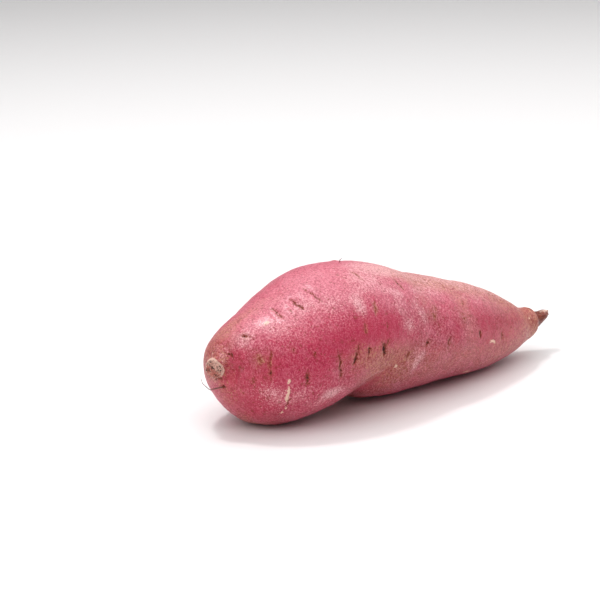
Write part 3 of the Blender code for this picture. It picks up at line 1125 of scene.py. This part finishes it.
class SWEETPOTATO_OT_skin(bpy.types.Operator):
    """Grows the skin over the solid, with its eyes, scars, stub and tip"""

    bl_idname = "sweet_potato.skin"
    bl_label = "Grow Skin"

    def execute(self, context):
        settings = context.scene.sweet_potato_skin
        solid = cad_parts[NODE]
        mesh = refined(solid.data, "skin", settings.levels)
        skin = Skin(mesh)
        add_fine_relief(skin, settings.fine_relief)
        add_patches(skin)
        add_eyes(skin, settings.eye_depth)
        for points, width, rise, stain, strength in LINES:
            path = [skin.place(along, angle)[0] for along, angle in points]
            skin.line(path, width * MM, rise * MM, stain, strength)
        for point, reach, rise, stain, strength in SPOTS:
            skin.spot(stain, Vector(point) * MM, reach * MM, rise * MM, strength)
        add_stub(skin)
        add_tip(skin)
        skin.finish()
        piece = add_piece("skin", mesh, skin_material(settings))
        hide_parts(NODE)
        return {"FINISHED"}


class SWEETPOTATO_OT_hairs(bpy.types.Operator):
    """Adds the dried lateral root hairs"""

    bl_idname = "sweet_potato.hairs"
    bl_label = "Add Root Hairs"

    def execute(self, context):
        settings = context.scene.sweet_potato_hairs
        material = hair_material(settings)
        for name, points, scale in HAIRS:
            bm = bmesh.new()
            path = [Vector(p) * MM for p in points]
            count = len(path)
            thin = [1 - HAIR_TAPER * i / (count - 1) for i in range(count)]
            radii = [settings.radius * scale * part for part in thin]
            strand(bm, path, radii)
            mesh = bpy.data.meshes.new(name)
            bm.to_mesh(mesh)
            bm.free()
            add_piece(name, mesh, material)
        return {"FINISHED"}


class SWEETPOTATO_OT_stage(bpy.types.Operator):
    """Lays the pale floor and sets the softboxes and the camera"""

    bl_idname = "sweet_potato.stage"
    bl_label = "Set Stage"

    def execute(self, context):
        settings = context.scene.sweet_potato_stage
        scene = context.scene
        bm = bmesh.new()
        bmesh.ops.create_grid(bm, x_segments=1, y_segments=1, size=FLOOR_REACH)
        mesh = bpy.data.meshes.new("floor")
        bm.to_mesh(mesh)
        bm.free()
        mesh.materials.append(floor_material(settings))
        floor = bpy.data.objects.new("floor", mesh)
        scene.collection.objects.link(floor)

        for name, place, size, power in SOFTBOXES:
            self.softbox(scene, name, place, size, getattr(settings, power))

        world = bpy.data.worlds.new("studio")
        world.use_nodes = True
        sky = world.node_tree.nodes["Background"]
        sky.inputs["Color"].default_value = (1, 1, 1, 1)
        sky.inputs["Strength"].default_value = settings.sky
        scene.world = world
        scene.view_settings.view_transform = "Standard"

        az, el = settings.azimuth, settings.elevation
        back = Vector((math.sin(az) * math.cos(el), -math.cos(az) * math.cos(el), math.sin(el)))
        right = Vector((math.cos(az), math.sin(az), 0))
        up = back.cross(right)
        target = Vector((0, 0, AIM_HEIGHT)) - right * AIM_LEFT + up * AIM_UP
        data = bpy.data.cameras.new("camera")
        data.lens = settings.lens
        camera = bpy.data.objects.new("camera", data)
        camera.location = target + back * settings.distance
        camera.rotation_mode = "QUATERNION"
        camera.rotation_quaternion = (-back).to_track_quat("-Z", "Y")
        scene.collection.objects.link(camera)
        scene.camera = camera
        return {"FINISHED"}

    def softbox(self, scene, name, place, size, power):
        """Adds a square softbox that looks at the root."""
        data = bpy.data.lights.new(name, "AREA")
        data.size = size
        data.energy = power
        light = bpy.data.objects.new(name, data)
        light.location = place
        light.rotation_mode = "QUATERNION"
        light.rotation_quaternion = (LIGHT_AIM - Vector(place)).to_track_quat("-Z", "Y")
        scene.collection.objects.link(light)


class SWEETPOTATO_PT_panel(bpy.types.Panel):
    """Lists the settings of the skin, the hairs and the stage with their operators"""

    bl_label = "Sweet Potato"
    bl_idname = "SWEETPOTATO_PT_panel"
    bl_space_type = "VIEW_3D"
    bl_region_type = "UI"
    bl_category = "Sweet Potato"

    def draw(self, context):
        for group, operator in GROUPS:
            box = self.layout.box()
            settings = getattr(context.scene, group)
            for name in settings.__annotations__:
                box.prop(settings, name)
            box.operator(operator)


GROUPS = (
    ("sweet_potato_skin", "sweet_potato.skin"),
    ("sweet_potato_hairs", "sweet_potato.hairs"),
    ("sweet_potato_stage", "sweet_potato.stage"),
)
CLASSES = (
    SkinSettings,
    HairSettings,
    StageSettings,
    SWEETPOTATO_OT_skin,
    SWEETPOTATO_OT_hairs,
    SWEETPOTATO_OT_stage,
    SWEETPOTATO_PT_panel,
)


def register():
    """Registers the classes and hangs their settings on the scene."""
    for item in CLASSES:
        bpy.utils.register_class(item)
    for (group, _), settings in zip(GROUPS, CLASSES):
        setattr(bpy.types.Scene, group, bpy.props.PointerProperty(type=settings))


def unregister():
    """Takes the settings and the classes away again."""
    for group, _ in GROUPS:
        delattr(bpy.types.Scene, group)
    for item in reversed(CLASSES):
        bpy.utils.unregister_class(item)


def main():
    """Builds the skin, the hairs and the stage."""
    register()
    bpy.ops.sweet_potato.skin()
    bpy.ops.sweet_potato.hairs()
    bpy.ops.sweet_potato.stage()


if __name__ == "__main__":
    main()
